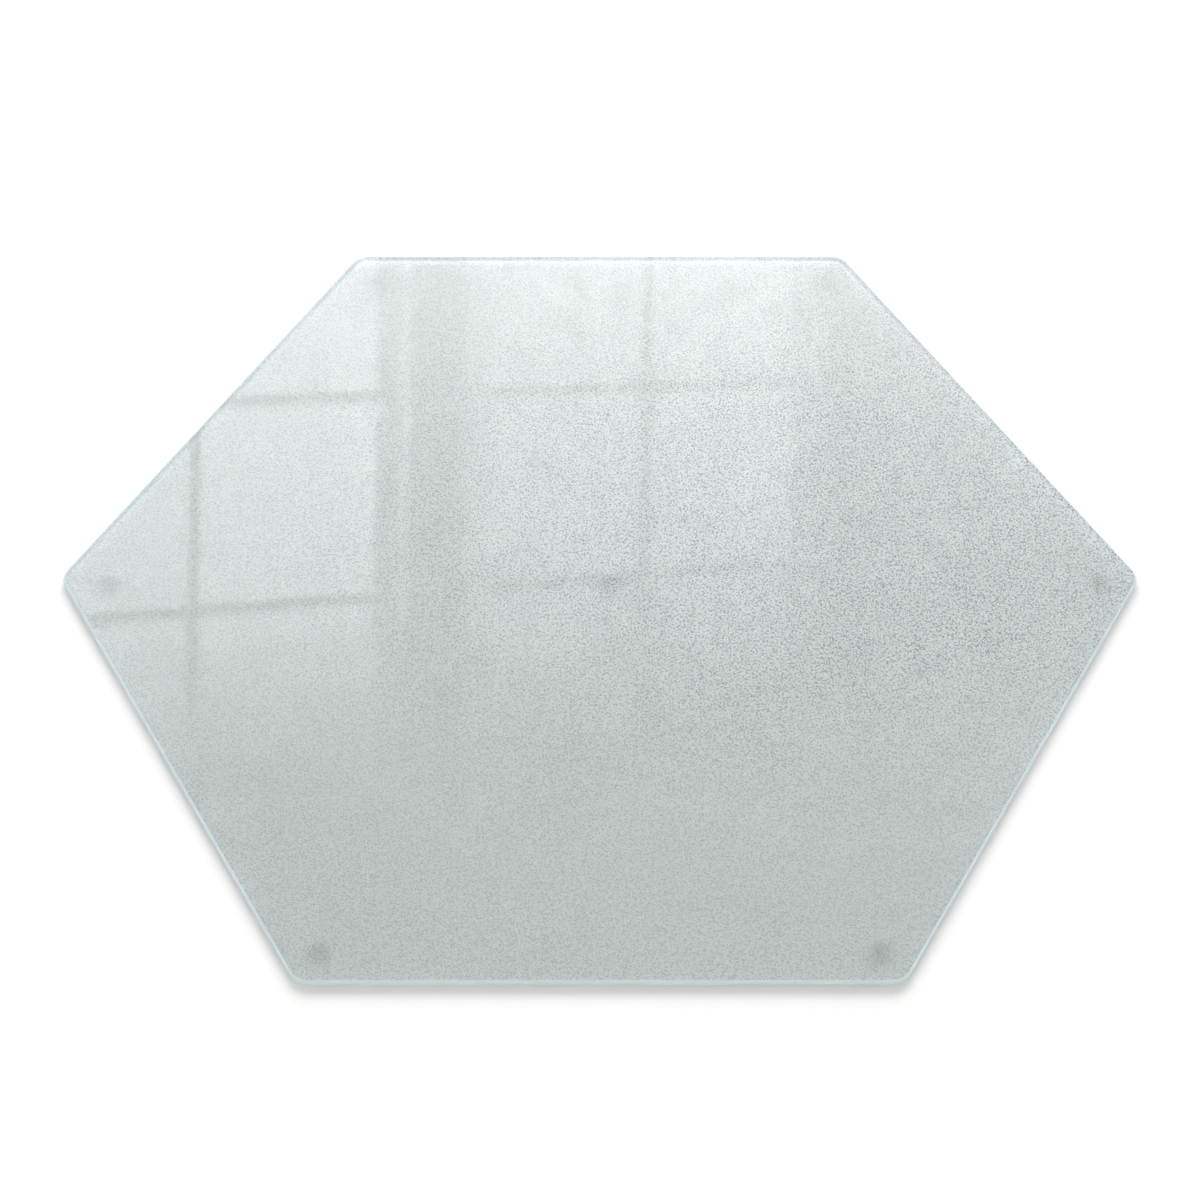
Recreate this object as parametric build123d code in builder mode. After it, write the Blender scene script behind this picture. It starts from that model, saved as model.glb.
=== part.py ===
from build123d import *
import os
from math import cos, radians, sin

# Hexagonal chair mat: a sheet of tempered glass that stands on seven stick-on pads.
#
# Millimetres, +Z up. The floor is Z = 0 and the origin is under the centre of the hexagon. Two corners
# of the hexagon lie on the X axis, left and right, so its straight front and rear edges run along X.

# --- Driving dimensions ---------------------------------------------------------------------------

# Glass sheet
side_length = 609.6          # side of the hexagon, measured between its sharp corners
corner_radius = 25.0         # rounding of each corner, seen from above
glass_thickness = 6.0
edge_flat = 0.4              # upright land left in the middle of the pencil-ground edge

# Pads
pad_diameter = 25.4
pad_height = 3.2
pad_foot_round = 1.0         # rounding of the rim that meets the floor
pad_top_round = 0.3          # rounding of the rim under the glass
pad_edge_distance = 38.1     # from a corner pad's centre to each of the two edges beside it

# Adhesive between each pad and the glass
adhesive_thickness = 0.25
adhesive_setback = 0.6       # how far the adhesive stops short of the flat top of its pad

# Pads are stuck on by hand: how far three of them sit from their nominal places, in X and Y
hand_placement = {"left": (11.0, -6.0), "right": (1.5, -6.0), "centre": (12.5, -4.0)}

# --- Worked out from them -------------------------------------------------------------------------

half_corner_angle = 60.0     # half the inside angle of a regular hexagon's corner, in degrees
glass_underside = pad_height + adhesive_thickness
edge_round = (glass_thickness - edge_flat) / 2
pad_radius = pad_diameter / 2
adhesive_radius = pad_radius - pad_top_round - adhesive_setback

# A corner pad sits on the line from the centre to its corner, level with both edges beside it
corner_pad_reach = side_length - pad_edge_distance / sin(radians(half_corner_angle))
corner_bearings = {
    "right": 0,
    "rear_right": 60,
    "rear_left": 120,
    "left": 180,
    "front_left": 240,
    "front_right": 300,
}


def pad_place(name):
    """Centre of the named pad in X and Y: its nominal place plus the error of placing it by hand."""
    reach = corner_pad_reach if name in corner_bearings else 0.0
    bearing = radians(corner_bearings.get(name, 0))
    error_x, error_y = hand_placement.get(name, (0.0, 0.0))
    return reach * cos(bearing) + error_x, reach * sin(bearing) + error_y


os.makedirs("parts", exist_ok=True)

# --- Glass panel ----------------------------------------------------------------------------------
# One rounded hexagon. Both long rims of its edge are ground to a pencil edge, which is nearly a half
# round.

with BuildPart() as glass_panel:
    with BuildSketch(Plane.XY.offset(glass_underside)) as outline:
        RegularPolygon(radius=side_length, side_count=6)
        fillet(outline.vertices(), radius=corner_radius)
    extrude(amount=glass_thickness)
    faces_up_and_down = glass_panel.faces().filter_by(Axis.Z)
    fillet(faces_up_and_down.edges(), radius=edge_round)

glass_panel.part.label = "glass_panel"
export_step(glass_panel.part, "parts/glass_panel.step")

# --- Pads and their adhesive ----------------------------------------------------------------------
# Every pad stands on the floor. Its adhesive fills the gap from the pad's flat top to the glass.

for pad_name in [*corner_bearings, "centre"]:
    pad_x, pad_y = pad_place(pad_name)

    with BuildPart() as pad:
        with BuildSketch(Plane(origin=(pad_x, pad_y, 0))):
            Circle(radius=pad_radius)
        extrude(amount=pad_height)
        pad_rims = pad.edges().group_by(Axis.Z)
        fillet(pad_rims[-1], radius=pad_top_round)
        fillet(pad.faces().sort_by(Axis.Z)[0].edges(), radius=pad_foot_round)

    pad.part.label = f"pad_{pad_name}"
    export_step(pad.part, f"parts/pad_{pad_name}.step")

    with BuildPart() as adhesive:
        with BuildSketch(Plane(origin=(pad_x, pad_y, pad_height))):
            Circle(radius=adhesive_radius)
        extrude(amount=adhesive_thickness)

    adhesive.part.label = f"adhesive_{pad_name}"
    export_step(adhesive.part, f"parts/adhesive_{pad_name}.step")
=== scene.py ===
import math
import bpy
import numpy as np
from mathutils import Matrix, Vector


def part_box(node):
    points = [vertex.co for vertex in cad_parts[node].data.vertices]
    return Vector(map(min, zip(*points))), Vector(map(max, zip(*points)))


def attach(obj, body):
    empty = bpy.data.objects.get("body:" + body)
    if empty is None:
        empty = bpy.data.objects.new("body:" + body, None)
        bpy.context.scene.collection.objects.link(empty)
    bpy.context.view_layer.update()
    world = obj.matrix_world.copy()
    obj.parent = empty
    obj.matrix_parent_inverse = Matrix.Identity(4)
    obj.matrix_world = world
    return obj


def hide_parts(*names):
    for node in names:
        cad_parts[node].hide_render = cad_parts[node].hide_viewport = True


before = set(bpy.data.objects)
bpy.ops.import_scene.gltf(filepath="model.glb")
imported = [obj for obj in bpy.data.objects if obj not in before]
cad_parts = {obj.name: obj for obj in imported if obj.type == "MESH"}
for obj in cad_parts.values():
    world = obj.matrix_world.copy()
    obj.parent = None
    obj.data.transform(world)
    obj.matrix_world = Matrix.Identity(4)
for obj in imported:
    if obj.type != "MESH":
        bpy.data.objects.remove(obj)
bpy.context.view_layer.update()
scene = bpy.context.scene

# --- Where the mat is looked at from --------------------------------------------------------------
# A person standing in front of the straight front edge and looking down across the mat, through a
# short telephoto lens. Heights are above the top face of the glass.

glass_low, glass_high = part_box("glass_panel")
top_of_glass = glass_high.z

eye_height = 2.201
eye_distance = 1.847
tilt_from_straight_down = math.radians(39.476)
sensor_width = 36.0
focal_length = 76.38
nearest_seen, farthest_seen = 0.05, 100.0

lens = bpy.data.cameras.new("view_lens")
lens.sensor_width = sensor_width
lens.lens = focal_length
lens.clip_start, lens.clip_end = nearest_seen, farthest_seen
camera = bpy.data.objects.new("view_camera", lens)
camera.location = (0.0, -eye_distance, top_of_glass + eye_height)
camera.rotation_euler = (tilt_from_straight_down, 0.0, 0.0)
scene.collection.objects.link(camera)
scene.camera = camera

# --- The glass sheet ------------------------------------------------------------------------------
# One sheet of float glass, cut to a regular hexagon, its corners rounded and its rim ground and
# polished to a pencil edge. The top face is finely pebbled before the sheet is tempered; the
# underside stays as smooth as it left the float bath.

corner_radius = 0.025
edge_land = 0.0004
corner_steps = 16
edge_steps = 14
flat_ring_insets = (0.0036, 0.0060, 0.0120)
painted_shade_margin_rings = 2     # rings of the underside given the rim's pale-blue finish, as painted shade along the edge of the sheet

glass_ior = 1.52
mirror_ior = 2.0            # how strongly the polished tops of the pebbles mirror the room
mirror_roughness = 0.03
frosting = (0.48, 0.54)     # roughness where the face is clean and where it is hazy
pebbles_per_metre = 600.0
pebble_height = 0.00030
dark_pebble = (0.055, 0.09, 0.115, 1.0)
light_pebble = (0.94, 1.0, 0.985, 1.0)
sparkle_patch_shape = (1.0, 1.6, 1.0)      # painted sparkle: the grain is drawn strongest in an oval patch, and the face is painted lighter away from it
sparkle_patch_middle = (0.30, 0.16)        # its middle, in those stretched places
full_sparkle_reach, no_sparkle_reach = 0.10, 0.85
sparkle_grain, plain_grain = 1.2, 0.5
painted_light_tone = 0.79                    # the tone that grains draw in to as they fade, above their mean, so the face is painted lighter away from the patch

rim_clean = (0.74, 0.845, 0.87, 1.0)
rim_hazy = (0.78, 0.88, 0.90, 1.0)
rim_roughness = (0.36, 0.48)
rim_clearness = 0.35
wheel_marks_per_metre = 5000.0
wheel_mark_stretch = (0.02, 0.02, 1.0)

underside_clean = (0.97, 0.995, 0.98, 1.0)
underside_hazy = (0.94, 0.965, 0.95, 1.0)
underside_roughness = (0.02, 0.10)

apothem = glass_high.y
thickness = glass_high.z - glass_low.z
edge_round = (thickness - edge_land) / 2


def rounded_hexagon(apothem, corner_radius, steps):
    """Outline of a hexagon with rounded corners, as arc centres and outward unit normals.

    Each of the six corners is an arc of the corner radius whose outward normal sweeps 60 degrees, 30
    either side of the corner's bearing. A point of the outline is arc centre + radius * normal, and
    the straight sides are what lies between one arc's last point and the next arc's first. Moving in
    by d keeps the centres and takes d off the radius.
    """
    bearings = np.radians(60.0 * np.arange(6))
    sweep = np.radians(np.linspace(-30.0, 30.0, steps + 1))
    reach = (apothem - corner_radius) / np.cos(np.radians(30.0))
    centres = reach * np.stack([np.cos(bearings), np.sin(bearings)], axis=1)
    angles = (bearings[:, None] + sweep[None, :]).ravel()
    normals = np.stack([np.cos(angles), np.sin(angles)], axis=1)
    return np.repeat(centres, steps + 1, axis=0), normals


def pencil_profile(thickness, edge_round, ring_insets, steps):
    """Section of the sheet from the top face round the rim to the underside, as insets and heights.

    Rings on the top face lead to a quarter round, an upright land, a second quarter round and rings
    on the underside. On a quarter round, inset = r * (1 - sin a) and height = r * cos a above its
    centre, with a from 0 to 90 degrees, so the rim is tangent to both faces.
    """
    a = np.radians(np.linspace(0.0, 90.0, steps + 1))
    inset = edge_round * (1.0 - np.sin(a))
    drop = edge_round * (1.0 - np.cos(a))
    flat = np.array(ring_insets[::-1])
    insets = np.concatenate([flat, inset, inset[::-1], flat[::-1]])
    heights = np.concatenate(
        [np.zeros_like(flat), -drop, drop[::-1] - thickness, np.full_like(flat, -thickness)])
    return insets, heights


def sheet_mesh(name, centres, normals, insets, heights, corner_radius, top):
    """Mesh of a profile carried along an outline: one column per outline point, one row per profile
    point, joined into quads that close round the outline, with one flat face for the middle of the
    top and one for the middle of the underside. Also gives each face's band, counted from the top."""
    radii = corner_radius - insets
    xy = centres[None, :, :] + radii[:, None, None] * normals[None, :, :]
    z = np.broadcast_to((top + heights)[:, None, None], (len(heights), len(centres), 1))
    points = np.concatenate([xy, z], axis=2).reshape(-1, 3)
    rows, columns = len(insets), len(centres)
    row, column = np.meshgrid(np.arange(rows - 1), np.arange(columns), indexing="ij")
    after = (column + 1) % columns
    here, below = row * columns, (row + 1) * columns
    quads = np.stack([here + column, below + column, below + after, here + after], axis=-1).reshape(-1, 4)
    top_cap = np.arange(columns)
    bottom_cap = (rows - 1) * columns + np.arange(columns)[::-1]
    mesh = bpy.data.meshes.new(name)
    mesh.from_pydata(points.tolist(), [], [top_cap.tolist(), bottom_cap.tolist(), *quads.tolist()])
    band = np.concatenate([[0, rows - 2], row.ravel()])
    mesh.shade_smooth()
    return mesh, band


outline_centres, outline_normals = rounded_hexagon(apothem, corner_radius, corner_steps)
profile_insets, profile_heights = pencil_profile(thickness, edge_round, flat_ring_insets, edge_steps)
sheet, band = sheet_mesh(
    "glass_sheet", outline_centres, outline_normals, profile_insets, profile_heights, corner_radius,
    top_of_glass)

# The underside's outer rings take the rim's finish: painted shade along the edge of the sheet.
first_rim_band = len(flat_ring_insets)
first_underside_band = first_rim_band + 2 * edge_steps + 1 + painted_shade_margin_rings
finish_index = np.where(band < first_rim_band, 0, np.where(band < first_underside_band, 1, 2))
sheet.polygons.foreach_set("material_index", finish_index.astype(np.int32))

glass_sheet = bpy.data.objects.new("glass_sheet", sheet)
scene.collection.objects.link(glass_sheet)


def new_material(name):
    """An empty node material with one Principled shader, returned as material, tree and shader."""
    material = bpy.data.materials.new(name)
    material.use_nodes = True
    tree = material.node_tree
    tree.nodes.clear()
    shader = tree.nodes.new("ShaderNodeBsdfPrincipled")
    output = tree.nodes.new("ShaderNodeOutputMaterial")
    tree.links.new(shader.outputs["BSDF"], output.inputs["Surface"])
    return material, tree, shader


def put(tree, socket, value):
    """Gives an input socket a plain value, or a link if the value is another node's socket."""
    if isinstance(value, bpy.types.NodeSocket):
        tree.links.new(value, socket)
    else:
        socket.default_value = value


def add_node(tree, kind, inputs=None, **settings):
    """Adds a node with its settings, and gives each named or numbered input its value or link."""
    made = tree.nodes.new(kind)
    for name, value in settings.items():
        setattr(made, name, value)
    for name, value in (inputs or {}).items():
        put(tree, made.inputs[name], value)
    return made


def arithmetic(tree, operation, a, b=0.0, c=0.0):
    """Output of a Math node on up to three numbers or sockets."""
    made = add_node(tree, "ShaderNodeMath", operation=operation)
    for socket, value in zip(made.inputs, (a, b, c)):
        put(tree, socket, value)
    return made.outputs["Value"]


def remap(tree, value, low, high, smooth=False):
    """A 0 to 1 value spread over low to high."""
    kind = "SMOOTHSTEP" if smooth else "LINEAR"
    return add_node(
        tree,
        "ShaderNodeMapRange",
        {"Value": value, "To Min": low, "To Max": high},
        interpolation_type=kind,
    ).outputs["Result"]


def blend_colours(tree, share, first, second):
    """Output of a colour mix from first, at share 0, to second, at share 1."""
    made = add_node(tree, "ShaderNodeMix", data_type="RGBA")
    for socket, value in zip((made.inputs["Factor"], made.inputs[6], made.inputs[7]),
                             (share, first, second)):
        put(tree, socket, value)
    return made.outputs[2]


def new_group(name, inputs, outputs):
    """A node group with a Vector input, the float inputs given as name: default, and float outputs."""
    group = bpy.data.node_groups.new(name, "ShaderNodeTree")
    group.interface.new_socket("Vector", in_out="INPUT", socket_type="NodeSocketVector")
    for label, default in inputs.items():
        given = group.interface.new_socket(label, in_out="INPUT", socket_type="NodeSocketFloat")
        given.default_value = default
    for label in outputs:
        group.interface.new_socket(label, in_out="OUTPUT", socket_type="NodeSocketFloat")
    return group, group.nodes.new("NodeGroupInput").outputs, group.nodes.new("NodeGroupOutput").inputs


def make_grain_group():
    """Fine grain, for pebbled glass and for satin moulded plastic.

    Relief is the smooth domes of close-packed cells, roughened by a finer noise. Shade is how light
    each grain looks: a noise as fine as the cells, stretched until many grains are fully light.
    """
    group, given, result = new_group(
        "grain", {"Per Metre": 400.0, "Roughening": 0.4}, ["Relief", "Shade"])
    domes = add_node(
        group,
        "ShaderNodeTexVoronoi",
        {"Vector": given["Vector"], "Scale": given["Per Metre"], "Smoothness": 0.8},
        feature="SMOOTH_F1",
    )
    finer = arithmetic(group, "MULTIPLY", given["Per Metre"], 1.6)
    crumbs = add_node(
        group,
        "ShaderNodeTexNoise",
        {"Vector": given["Vector"], "Scale": finer, "Detail": 2.0, "Roughness": 0.6},
    ).outputs["Fac"]
    rise = arithmetic(group, "SUBTRACT", 1.0, domes.outputs["Distance"])
    put(group, result["Relief"], arithmetic(group, "MULTIPLY_ADD", crumbs, given["Roughening"], rise))
    tone = add_node(
        group,
        "ShaderNodeTexNoise",
        {"Vector": given["Vector"], "Scale": given["Per Metre"], "Detail": 1.0},
    ).outputs["Fac"]
    spread = add_node(
        group, "ShaderNodeMapRange", {"Value": tone, "From Min": 0.35, "From Max": 0.56}, clamp=True
    ).outputs["Result"]
    put(group, result["Shade"], spread)
    return group


def make_haze_group():
    """The faint film that handling and wiping leave: broad soft patches, streaked one way.

    Haze runs from 0, clean, to 1.
    """
    group, given, result = new_group("haze", {"Patches per Metre": 5.0}, ["Haze"])
    streaked = add_node(
        group, "ShaderNodeVectorMath", {0: given["Vector"], 1: (1.0, 2.6, 1.0)}, operation="MULTIPLY"
    ).outputs["Vector"]
    patches = add_node(
        group,
        "ShaderNodeTexNoise",
        {"Vector": streaked, "Scale": given["Patches per Metre"], "Detail": 4.0, "Distortion": 0.6},
    ).outputs["Fac"]
    film = add_node(
        group, "ShaderNodeMapRange", {"Value": patches, "From Min": 0.35, "From Max": 0.7}, clamp=True)
    put(group, result["Haze"], film.outputs["Result"])
    return group


def use_group(tree, group, vector, **values):
    """Outputs of a group placed in a material, with its own values."""
    made = tree.nodes.new("ShaderNodeGroup")
    made.node_tree = group
    put(tree, made.inputs["Vector"], vector)
    for label, value in values.items():
        put(tree, made.inputs[label.replace("_", " ")], value)
    return made.outputs


grain = make_grain_group()
haze = make_haze_group()


def pebbled_face():
    """Top face: clear glass whose fine pebbles scatter what is seen through it and sparkle."""
    material, tree, shader = new_material("pebbled_glass")
    place = add_node(tree, "ShaderNodeTexCoord").outputs["Object"]
    pebbles = use_group(tree, grain, place, **{"Per Metre": pebbles_per_metre, "Roughening": 0.5})
    film = use_group(tree, haze, place)
    # Painted sparkle and painted light: the grain is drawn strongest in an oval patch right of the
    # middle, and the face is painted lighter away from it.
    stretched = add_node(
        tree, "ShaderNodeVectorMath", {0: place, 1: sparkle_patch_shape}, operation="MULTIPLY").outputs["Vector"]
    patch_middle = (*sparkle_patch_middle, top_of_glass)
    off_patch = add_node(
        tree, "ShaderNodeVectorMath", {0: stretched, 1: patch_middle}, operation="DISTANCE"
    ).outputs["Value"]
    painted_sparkle_strength = add_node(
        tree,
        "ShaderNodeMapRange",
        {"Value": off_patch, "From Min": full_sparkle_reach, "From Max": no_sparkle_reach,
         "To Min": sparkle_grain, "To Max": plain_grain},
        interpolation_type="SMOOTHSTEP",
    ).outputs["Result"]
    off_tone = arithmetic(tree, "SUBTRACT", pebbles["Shade"], painted_light_tone)
    tone = arithmetic(tree, "MULTIPLY_ADD", off_tone, painted_sparkle_strength, painted_light_tone)
    put(tree, shader.inputs["Base Color"], blend_colours(tree, tone, dark_pebble, light_pebble))
    put(tree, shader.inputs["Roughness"], remap(tree, film["Haze"], *frosting))
    relief = add_node(
        tree, "ShaderNodeBump", {"Height": pebbles["Relief"], "Strength": 1.0, "Distance": pebble_height})
    put(tree, shader.inputs["Normal"], relief.outputs["Normal"])
    put(tree, shader.inputs["Coat Weight"], remap(tree, film["Haze"], 1.0, 0.85))
    shader.inputs["Coat Roughness"].default_value = mirror_roughness
    shader.inputs["Coat IOR"].default_value = mirror_ior
    shader.inputs["IOR"].default_value = glass_ior
    shader.inputs["Transmission Weight"].default_value = 1.0
    return material


def polished_rim():
    """Pencil-ground rim: wheel-polished, with faint lines run along it, and tinted pale blue by the
    long way that light goes inside the sheet before it comes out here."""
    material, tree, shader = new_material("polished_rim")
    place = add_node(tree, "ShaderNodeTexCoord").outputs["Object"]
    lines = add_node(
        tree, "ShaderNodeVectorMath", {0: place, 1: wheel_mark_stretch}, operation="MULTIPLY"
    ).outputs["Vector"]
    wheel_marks = add_node(
        tree, "ShaderNodeTexNoise", {"Vector": lines, "Scale": wheel_marks_per_metre, "Detail": 2.0}
    ).outputs["Fac"]
    film = use_group(tree, haze, place, **{"Patches per Metre": 14.0})
    put(tree, shader.inputs["Base Color"], blend_colours(tree, film["Haze"], rim_clean, rim_hazy))
    put(tree, shader.inputs["Roughness"], remap(tree, wheel_marks, *rim_roughness))
    shader.inputs["IOR"].default_value = glass_ior
    shader.inputs["Transmission Weight"].default_value = rim_clearness
    return material


def smooth_underside():
    """Underside: float glass as smooth as it was made, with a trace of wiping film."""
    material, tree, shader = new_material("smooth_glass")
    place = add_node(tree, "ShaderNodeTexCoord").outputs["Object"]
    film = use_group(tree, haze, place, **{"Patches per Metre": 8.0})
    put(tree, shader.inputs["Base Color"], blend_colours(
        tree, film["Haze"], underside_clean, underside_hazy))
    put(tree, shader.inputs["Roughness"], remap(tree, film["Haze"], *underside_roughness))
    shader.inputs["IOR"].default_value = glass_ior
    shader.inputs["Transmission Weight"].default_value = 1.0
    return material


for finish in (pebbled_face(), polished_rim(), smooth_underside()):
    sheet.materials.append(finish)

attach(glass_sheet, "root")
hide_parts("glass_panel")

# --- The pads -------------------------------------------------------------------------------------
# Seven moulded discs of clear soft polyurethane, one near each corner and one near the middle. Each
# has a satin skin, a rounded foot rim that grips the floor, and a slight swell round its side.

pad_places = ("right", "rear_right", "rear_left", "left", "front_left", "front_right", "centre")
foot_round = 0.0010
top_round = 0.0003
side_swell = 0.0002
pad_columns = 96
section_steps = 9           # points on each quarter or half round of a section

# Pad tones with painted shade: darker middles, lighter rims, and darker pads behind the front row.
front_middle_shade, rear_middle_shade = (0.68, 0.70, 0.69, 1.0), (0.30, 0.32, 0.31, 1.0)
front_rim_shade, rear_rim_shade = (0.86, 0.87, 0.865, 1.0), (0.62, 0.63, 0.625, 1.0)
rear_shade_starts, rear_shade_full = -0.40, -0.10      # painted shade: the front pads stay light, those behind are painted darker
pad_roughness = (0.34, 0.50)
pad_grain_per_metre = 1500.0
pad_grain_height = 0.00003
light_soaks_in = 0.002
polyurethane_ior = 1.5


def turned_mesh(name, centre, radii, heights, columns):
    """Mesh of a section turned about an upright axis: point = centre + radius * (cos t, sin t),
    height. Rows of quads join the section's points, and a flat face closes each end. The UV map
    from_middle gives each point's way out from the axis, as a share of the largest radius."""
    t = np.arange(columns) * 2.0 * np.pi / columns
    xy = np.stack([np.cos(t), np.sin(t)], axis=1)
    ring = np.asarray(centre)[None, None, :] + np.asarray(radii)[:, None, None] * xy[None, :, :]
    z = np.broadcast_to(np.asarray(heights)[:, None, None], (len(heights), columns, 1))
    points = np.concatenate([ring, z], axis=2).reshape(-1, 3)
    row, column = np.meshgrid(np.arange(len(radii) - 1), np.arange(columns), indexing="ij")
    after = (column + 1) % columns
    here, above = row * columns, (row + 1) * columns
    quads = np.stack([here + column, here + after, above + after, above + column], axis=-1).reshape(-1, 4)
    foot = np.arange(columns)[::-1].tolist()
    head = ((len(radii) - 1) * columns + np.arange(columns)).tolist()
    mesh = bpy.data.meshes.new(name)
    mesh.from_pydata(points.tolist(), [], [foot, *quads.tolist(), head])
    mesh.shade_smooth()
    corner_points = np.empty(len(mesh.loops), dtype=np.int32)
    mesh.loops.foreach_get("vertex_index", corner_points)
    reach = (points[corner_points, :2] - np.asarray(centre)) / max(radii)
    mesh.uv_layers.new(name="from_middle").data.foreach_set("uv", reach.astype(np.float32).ravel())
    return mesh


def pad_section(radius, foot, head):
    """Section of a pad from the middle of its foot to the middle of its head, as radii and heights.

    A quarter round of foot_round turns the flat foot up into the side, whose swell is a half sine of
    side_swell, and a quarter round of top_round turns the side in to the flat head.
    """
    a = np.radians(np.linspace(0.0, 90.0, section_steps))
    s = np.linspace(0.0, 1.0, section_steps)[1:-1]
    inner = radius - side_swell
    side_foot, side_head = foot + foot_round, head - top_round
    radii = np.concatenate([
        [inner - 3.0 * foot_round, inner - 1.3 * foot_round],
        inner - foot_round * (1.0 - np.sin(a)),
        inner + side_swell * np.sin(np.pi * s),
        inner - top_round * (1.0 - np.cos(a)),
        [inner - 3.0 * top_round],
    ])
    heights = np.concatenate([
        [foot, foot],
        foot + foot_round * (1.0 - np.cos(a)),
        side_foot + (side_head - side_foot) * s,
        side_head + top_round * np.sin(a),
        [head],
    ])
    return radii, heights


def clear_pad():
    """Clear polyurethane with painted shade: each pad darker in its middle than at its rim, and the pads
    behind the front row darker than those at the front. Light soaks in and comes back out, through a
    satin skin."""
    material, tree, shader = new_material("clear_polyurethane")
    place = add_node(tree, "ShaderNodeTexCoord").outputs["Object"]
    skin = use_group(tree, grain, place, **{"Per Metre": pad_grain_per_metre, "Roughening": 0.5})
    film = use_group(tree, haze, place, **{"Patches per Metre": 60.0})
    # Painted shade: each pad darker in its middle than at its rim, and the pads behind the front row
    # darker.
    way_out = add_node(tree, "ShaderNodeUVMap", uv_map="from_middle").outputs["UV"]
    away = add_node(tree, "ShaderNodeVectorMath", {0: way_out}, operation="LENGTH").outputs["Value"]
    toward_rim = remap(tree, away, 0.0, 1.0, smooth=True)
    rearward = add_node(tree, "ShaderNodeSeparateXYZ", {"Vector": place}).outputs["Y"]
    rear_painted_shade = add_node(
        tree, "ShaderNodeMapRange", {"Value": rearward, "From Min": rear_shade_starts, "From Max": rear_shade_full},
        clamp=True).outputs["Result"]
    middle_shade_tone = blend_colours(tree, rear_painted_shade, front_middle_shade, rear_middle_shade)
    rim_shade_tone = blend_colours(tree, rear_painted_shade, front_rim_shade, rear_rim_shade)
    put(tree, shader.inputs["Base Color"], blend_colours(tree, toward_rim, middle_shade_tone, rim_shade_tone))
    put(tree, shader.inputs["Roughness"], remap(tree, film["Haze"], *pad_roughness))
    relief = add_node(
        tree, "ShaderNodeBump", {"Height": skin["Relief"], "Strength": 0.6, "Distance": pad_grain_height})
    put(tree, shader.inputs["Normal"], relief.outputs["Normal"])
    shader.inputs["Subsurface Weight"].default_value = 0.2
    shader.inputs["Subsurface Radius"].default_value = (1.0, 1.0, 1.0)
    shader.inputs["Subsurface Scale"].default_value = light_soaks_in
    shader.inputs["IOR"].default_value = polyurethane_ior
    return material


pad_finish = clear_pad()
for pad_place in pad_places:
    pad_low, pad_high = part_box(f"pad_{pad_place}")
    pad_centre = ((pad_low.x + pad_high.x) / 2, (pad_low.y + pad_high.y) / 2)
    pad_radii, pad_heights = pad_section((pad_high.x - pad_low.x) / 2, pad_low.z, pad_high.z)
    pad_mesh = turned_mesh(f"pad_{pad_place}_shape", pad_centre, pad_radii, pad_heights, pad_columns)
    pad_mesh.materials.append(pad_finish)
    pad = bpy.data.objects.new(f"bumper_{pad_place}", pad_mesh)
    scene.collection.objects.link(pad)
    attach(pad, "root")
    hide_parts(f"pad_{pad_place}")

# --- The adhesive ---------------------------------------------------------------------------------
# A disc of clear acrylic film, cut a little smaller than the pad's head, that holds each pad to the
# smooth underside of the glass. Its edge is slightly rounded where it is squeezed out.

film_clearance = 0.00002
film_dark = (0.975, 0.985, 0.98, 1.0)
film_light = (1.0, 1.0, 1.0, 1.0)
film_roughness = (0.04, 0.10)
film_mottle_per_metre = 900.0
film_mottle_height = 0.00002
acrylic_ior = 1.47
film_cover = 0.4            # the film wets both faces, so most light passes it as if it weren't there


def film_section(radius, foot, head):
    """Section of an adhesive disc, as radii and heights: flat below and above, with a half round of
    the film's own thickness for its squeezed-out edge."""
    half = (head - foot) / 2
    flat_radius = radius - 6.0 * half
    a = np.radians(np.linspace(-90.0, 90.0, section_steps))
    radii = np.concatenate([[flat_radius], radius - half + half * np.cos(a), [flat_radius]])
    heights = np.concatenate([[foot], (foot + head) / 2 + half * np.sin(a), [head]])
    return radii, heights


def adhesive_film():
    """Clear acrylic adhesive with the faint mottle of trapped air."""
    material, tree, shader = new_material("acrylic_adhesive")
    place = add_node(tree, "ShaderNodeTexCoord").outputs["Object"]
    mottle = use_group(tree, grain, place, **{"Per Metre": film_mottle_per_metre, "Roughening": 0.3})
    put(tree, shader.inputs["Base Color"], blend_colours(tree, mottle["Shade"], film_dark, film_light))
    put(tree, shader.inputs["Roughness"], remap(tree, mottle["Shade"], *film_roughness))
    relief = add_node(
        tree,
        "ShaderNodeBump",
        {"Height": mottle["Relief"], "Strength": 0.5, "Distance": film_mottle_height},
    )
    put(tree, shader.inputs["Normal"], relief.outputs["Normal"])
    shader.inputs["IOR"].default_value = acrylic_ior
    shader.inputs["Transmission Weight"].default_value = 1.0
    shader.inputs["Alpha"].default_value = film_cover
    return material


adhesive_finish = adhesive_film()
for pad_place in pad_places:
    film_low, film_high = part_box(f"adhesive_{pad_place}")
    film_centre = ((film_low.x + film_high.x) / 2, (film_low.y + film_high.y) / 2)
    film_radii, film_heights = film_section(
        (film_high.x - film_low.x) / 2, film_low.z + film_clearance, film_high.z - film_clearance)
    film_mesh = turned_mesh(f"film_{pad_place}_shape", film_centre, film_radii, film_heights, pad_columns)
    film_mesh.materials.append(adhesive_finish)
    film = bpy.data.objects.new(f"film_{pad_place}", film_mesh)
    scene.collection.objects.link(film)
    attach(film, "root")
    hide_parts(f"adhesive_{pad_place}")

# --- The floor ------------------------------------------------------------------------------------
# A plain matt white floor, far wider than the mat. Well away from the mat it brightens into the
# white of the walls, so that no horizon shows.

floor_half_width = 30.0
floor_white = (0.905, 0.898, 0.890, 1.0)
brightens_from, brightens_to = 3.0, 9.0

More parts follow.
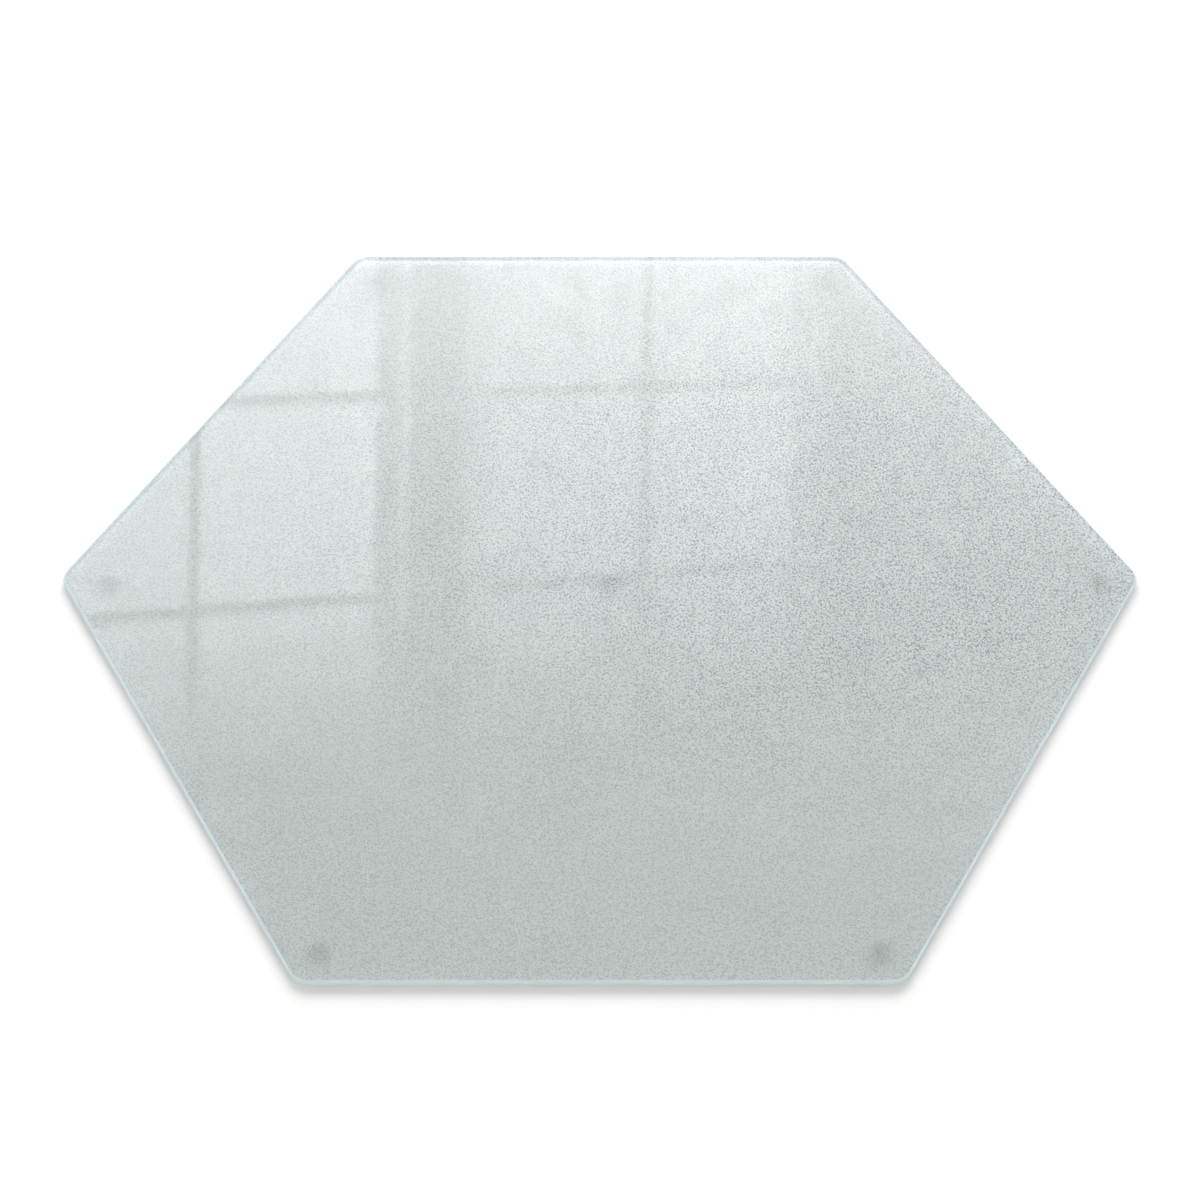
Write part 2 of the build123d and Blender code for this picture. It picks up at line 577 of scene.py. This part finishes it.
floor_mesh = bpy.data.meshes.new("floor")
floor_corners = floor_half_width * np.array([[-1, -1, 0], [1, -1, 0], [1, 1, 0], [-1, 1, 0]])
floor_mesh.from_pydata(floor_corners.tolist(), [], [[0, 1, 2, 3]])
floor = bpy.data.objects.new("floor", floor_mesh)
scene.collection.objects.link(floor)
floor_paint, floor_tree, floor_shader = new_material("matt_white_floor")
floor_shader.inputs["Base Color"].default_value = floor_white
floor_shader.inputs["Roughness"].default_value = 1.0
floor_shader.inputs["Specular IOR Level"].default_value = 0.0
floor_shader.inputs["Emission Color"].default_value = (1.0, 1.0, 1.0, 1.0)
floor_place = add_node(floor_tree, "ShaderNodeTexCoord").outputs["Object"]
floor_reach = add_node(
    floor_tree, "ShaderNodeVectorMath", {0: floor_place}, operation="LENGTH").outputs["Value"]
far_off = add_node(
    floor_tree,
    "ShaderNodeMapRange",
    {"Value": floor_reach, "From Min": brightens_from, "From Max": brightens_to},
    interpolation_type="SMOOTHSTEP",
).outputs["Result"]
put(floor_tree, floor_shader.inputs["Emission Strength"], far_off)
floor_mesh.materials.append(floor_paint)

# --- The light ------------------------------------------------------------------------------------
# White walls all round give a soft even light, a little brighter low down and in one patch behind
# the mat. Two wide soft boxes stand behind it, so that the sheet throws a soft shadow forwards.

wall_brightness = 0.67
low_wall_brightness = 0.82
low_wall_top, high_wall_foot = 0.25, 0.62       # upward part of a level-to-upright direction
glow_brightness = 1.3
glow_middle = (0.190, 0.840, 0.508)             # way to the brightest patch of wall, behind the mat
glow_edge = 0.89                                # cosine of the angle at which the patch ends

walls = bpy.data.worlds.new("white_walls")
walls.use_nodes = True
walls_tree = walls.node_tree
walls_light = walls_tree.nodes["Background"]
walls_light.inputs["Color"].default_value = (1.0, 1.0, 1.0, 1.0)
way = add_node(walls_tree, "ShaderNodeTexCoord").outputs["Generated"]
height_up = add_node(walls_tree, "ShaderNodeSeparateXYZ", {"Vector": way}).outputs["Z"]
wall = add_node(
    walls_tree,
    "ShaderNodeMapRange",
    {"Value": height_up, "From Min": low_wall_top, "From Max": high_wall_foot,
     "To Min": low_wall_brightness, "To Max": wall_brightness},
    interpolation_type="SMOOTHSTEP",
).outputs["Result"]
toward_glow = add_node(
    walls_tree, "ShaderNodeVectorMath", {0: way, 1: glow_middle}, operation="DOT_PRODUCT"
).outputs["Value"]
glow = add_node(
    walls_tree,
    "ShaderNodeMapRange",
    {"Value": toward_glow, "From Min": glow_edge, "From Max": 1.0,
     "To Min": 0.0, "To Max": glow_brightness},
    interpolation_type="SMOOTHSTEP",
).outputs["Result"]
put(walls_tree, walls_light.inputs["Strength"], arithmetic(walls_tree, "ADD", wall, glow))
seen_white = add_node(
    walls_tree, "ShaderNodeBackground", {"Color": (1.0, 1.0, 1.0, 1.0), "Strength": 1.0})
eye_or_not = add_node(walls_tree, "ShaderNodeMixShader", {
    0: add_node(walls_tree, "ShaderNodeLightPath").outputs["Is Camera Ray"],
    1: walls_light.outputs["Background"],
    2: seen_white.outputs["Background"],
})
walls_tree.links.new(eye_or_not.outputs["Shader"], walls_tree.nodes["World Output"].inputs["Surface"])
scene.world = walls


def rear_soft_box(name, elevation, distance, width, height, brightness):
    """A rectangular soft light straight behind the mat and facing its middle, at an elevation in
    degrees. Its power is brightness * pi * area, so brightness is how bright its face looks beside
    a white wall of brightness 1."""
    lamp = bpy.data.lights.new(name, "AREA")
    lamp.shape = "RECTANGLE"
    lamp.size, lamp.size_y = width, height
    lamp.energy = brightness * math.pi * width * height
    light = bpy.data.objects.new(name, lamp)
    up = math.radians(elevation)
    light.location = (0.0, distance * math.cos(up), distance * math.sin(up))
    light.rotation_euler = (up - math.pi / 2, 0.0, 0.0)
    light.visible_camera = False
    light.visible_glossy = False
    scene.collection.objects.link(light)


rear_soft_box(
    "rear_soft_box", elevation=22.0, distance=16.0, width=20.0, height=7.2, brightness=3.4)
rear_soft_box(
    "high_soft_box", elevation=43.0, distance=16.0, width=16.0, height=6.0, brightness=3.2)

# --- The window -----------------------------------------------------------------------------------
# A bright sash window beside the mat, which the polished sheet mirrors: two sashes of panes between
# glazing bars, a broad post between them, bushes outside, and daylight that fades towards its top.

window_middle = Vector((-0.394, 2.140, 2.257))
window_along = Vector((0.844, 0.394, 0.363)).normalized()
window_down = Vector((0.0139, 0.7774, -0.6288)).normalized()
window_edge = 1.15
window_head, window_sill = -0.75, 0.95

# Ways out from the middle of the post, and across it, in metres
panes_from, panes_to = 0.150, 1.050
frame_light_from, frame_light_to = 1.062, 1.140
glazing_bar_from, glazing_bar_to = 0.585, 0.613
row_pitch_half = 0.2322
row_bar_from, row_bar_to = 0.2155, 0.2225
post_line = (-0.083, -0.063)
post_strip = (0.0845, 0.1495)
post_shoulder = (-0.1495, -0.083)
changes_side_from, changes_side_to = -0.05, 0.05
bushes_top, bushes_dense = 0.12, 0.36
daylight_gone, daylight_full = -0.68, -0.06

left_sash, right_sash = 1.17, 0.85
line_light, strip_light, frame_light, shoulder_light = 0.75, 0.5, 0.3, 0.18
bush_darkness = 0.80
bush_threshold, bush_solid = 0.54, 0.66
bush_scale = 14.0
daylight = (0.94, 0.975, 1.0, 1.0)


def flat_grid(name, middle, along, down, span_along, span_down):
    """One four-sided face: point = middle + s * along + t * down, with s and t at the ends of their
    spans. The UV map holds s and t in metres."""
    st = np.array([(s, t) for t in span_down for s in span_along])[[0, 1, 3, 2]]
    points = np.asarray(middle) + st[:, :1] * np.asarray(along) + st[:, 1:] * np.asarray(down)
    mesh = bpy.data.meshes.new(name)
    mesh.from_pydata(points.tolist(), [], [[0, 1, 2, 3]])
    mesh.uv_layers.new(name="metres").data.foreach_set("uv", st.astype(np.float32).ravel())
    return mesh


def ramp(tree, value, low, high, at_low=0.0, at_high=1.0, kind="LINEAR"):
    """A value's way from low to high, spread over at_low to at_high and held beyond both ends."""
    return add_node(
        tree,
        "ShaderNodeMapRange",
        {"Value": value, "From Min": low, "From Max": high, "To Min": at_low, "To Max": at_high},
        interpolation_type=kind,
        clamp=True,
    ).outputs["Result"]


def band_mask(tree, value, low, high, soft=0.004):
    """1 where value is between low and high, 0 outside, with soft edges."""
    rise = ramp(tree, value, low - soft, low + soft)
    fall = ramp(tree, value, high - soft, high + soft, 1.0, 0.0)
    return arithmetic(tree, "MULTIPLY", rise, fall)


def product(tree, *factors):
    """Several numbers or sockets multiplied together."""
    result = factors[0]
    for factor in factors[1:]:
        result = arithmetic(tree, "MULTIPLY", result, factor)
    return result


def total(tree, *terms):
    """Several numbers or sockets added together."""
    result = terms[0]
    for term in terms[1:]:
        result = arithmetic(tree, "ADD", result, term)
    return result


def daylight_window():
    """Light through a sash window: panes, bars, post and bushes outside."""
    material = bpy.data.materials.new("daylight_window")
    material.use_nodes = True
    tree = material.node_tree
    tree.nodes.clear()
    place = add_node(tree, "ShaderNodeUVMap", uv_map="metres").outputs["UV"]
    split = add_node(tree, "ShaderNodeSeparateXYZ", {"Vector": place}).outputs
    across, down = split["X"], split["Y"]
    out = arithmetic(tree, "ABSOLUTE", across)

    sash = band_mask(tree, out, panes_from, panes_to)
    upright_bar = band_mask(tree, out, glazing_bar_from, glazing_bar_to)
    beside_bar = arithmetic(tree, "SUBTRACT", 1.0, upright_bar)
    row = arithmetic(tree, "PINGPONG", down, row_pitch_half)
    between_rows = ramp(tree, row, row_bar_from, row_bar_to, 1.0, 0.0)
    bushes = add_node(
        tree, "ShaderNodeTexNoise", {"Vector": place, "Scale": bush_scale, "Detail": 5.0}).outputs["Fac"]
    leaves = ramp(tree, bushes, bush_threshold, bush_solid, 0.0, bush_darkness)
    low_down = ramp(tree, down, bushes_top, bushes_dense)
    sky = arithmetic(tree, "SUBTRACT", 1.0, arithmetic(tree, "MULTIPLY", leaves, low_down))
    side = ramp(tree, across, changes_side_from, changes_side_to, left_sash, right_sash)
    panes = product(tree, sash, beside_bar, sky, side, between_rows)

    line = product(tree, band_mask(tree, across, *post_line), line_light)
    strip = product(tree, band_mask(tree, across, *post_strip), strip_light)
    edge = product(tree, band_mask(tree, out, frame_light_from, frame_light_to), frame_light)
    shoulder = product(tree, band_mask(tree, across, *post_shoulder), shoulder_light)
    level = total(tree, panes, line, strip, edge, shoulder)
    fade = ramp(tree, down, daylight_gone, daylight_full, kind="SMOOTHSTEP")

    shine = add_node(
        tree, "ShaderNodeEmission", {"Color": daylight, "Strength": product(tree, level, fade)})
    clear = add_node(tree, "ShaderNodeBsdfTransparent")
    both = add_node(tree, "ShaderNodeAddShader", {0: shine.outputs["Emission"], 1: clear.outputs["BSDF"]})
    output = tree.nodes.new("ShaderNodeOutputMaterial")
    tree.links.new(both.outputs["Shader"], output.inputs["Surface"])
    return material


window_mesh = flat_grid(
    "window", window_middle, window_along, window_down,
    (-window_edge, window_edge), (window_head, window_sill))
window_mesh.materials.append(daylight_window())
window = bpy.data.objects.new("window", window_mesh)
window.visible_camera = False
scene.collection.objects.link(window)

scene.view_settings.view_transform = "Standard"
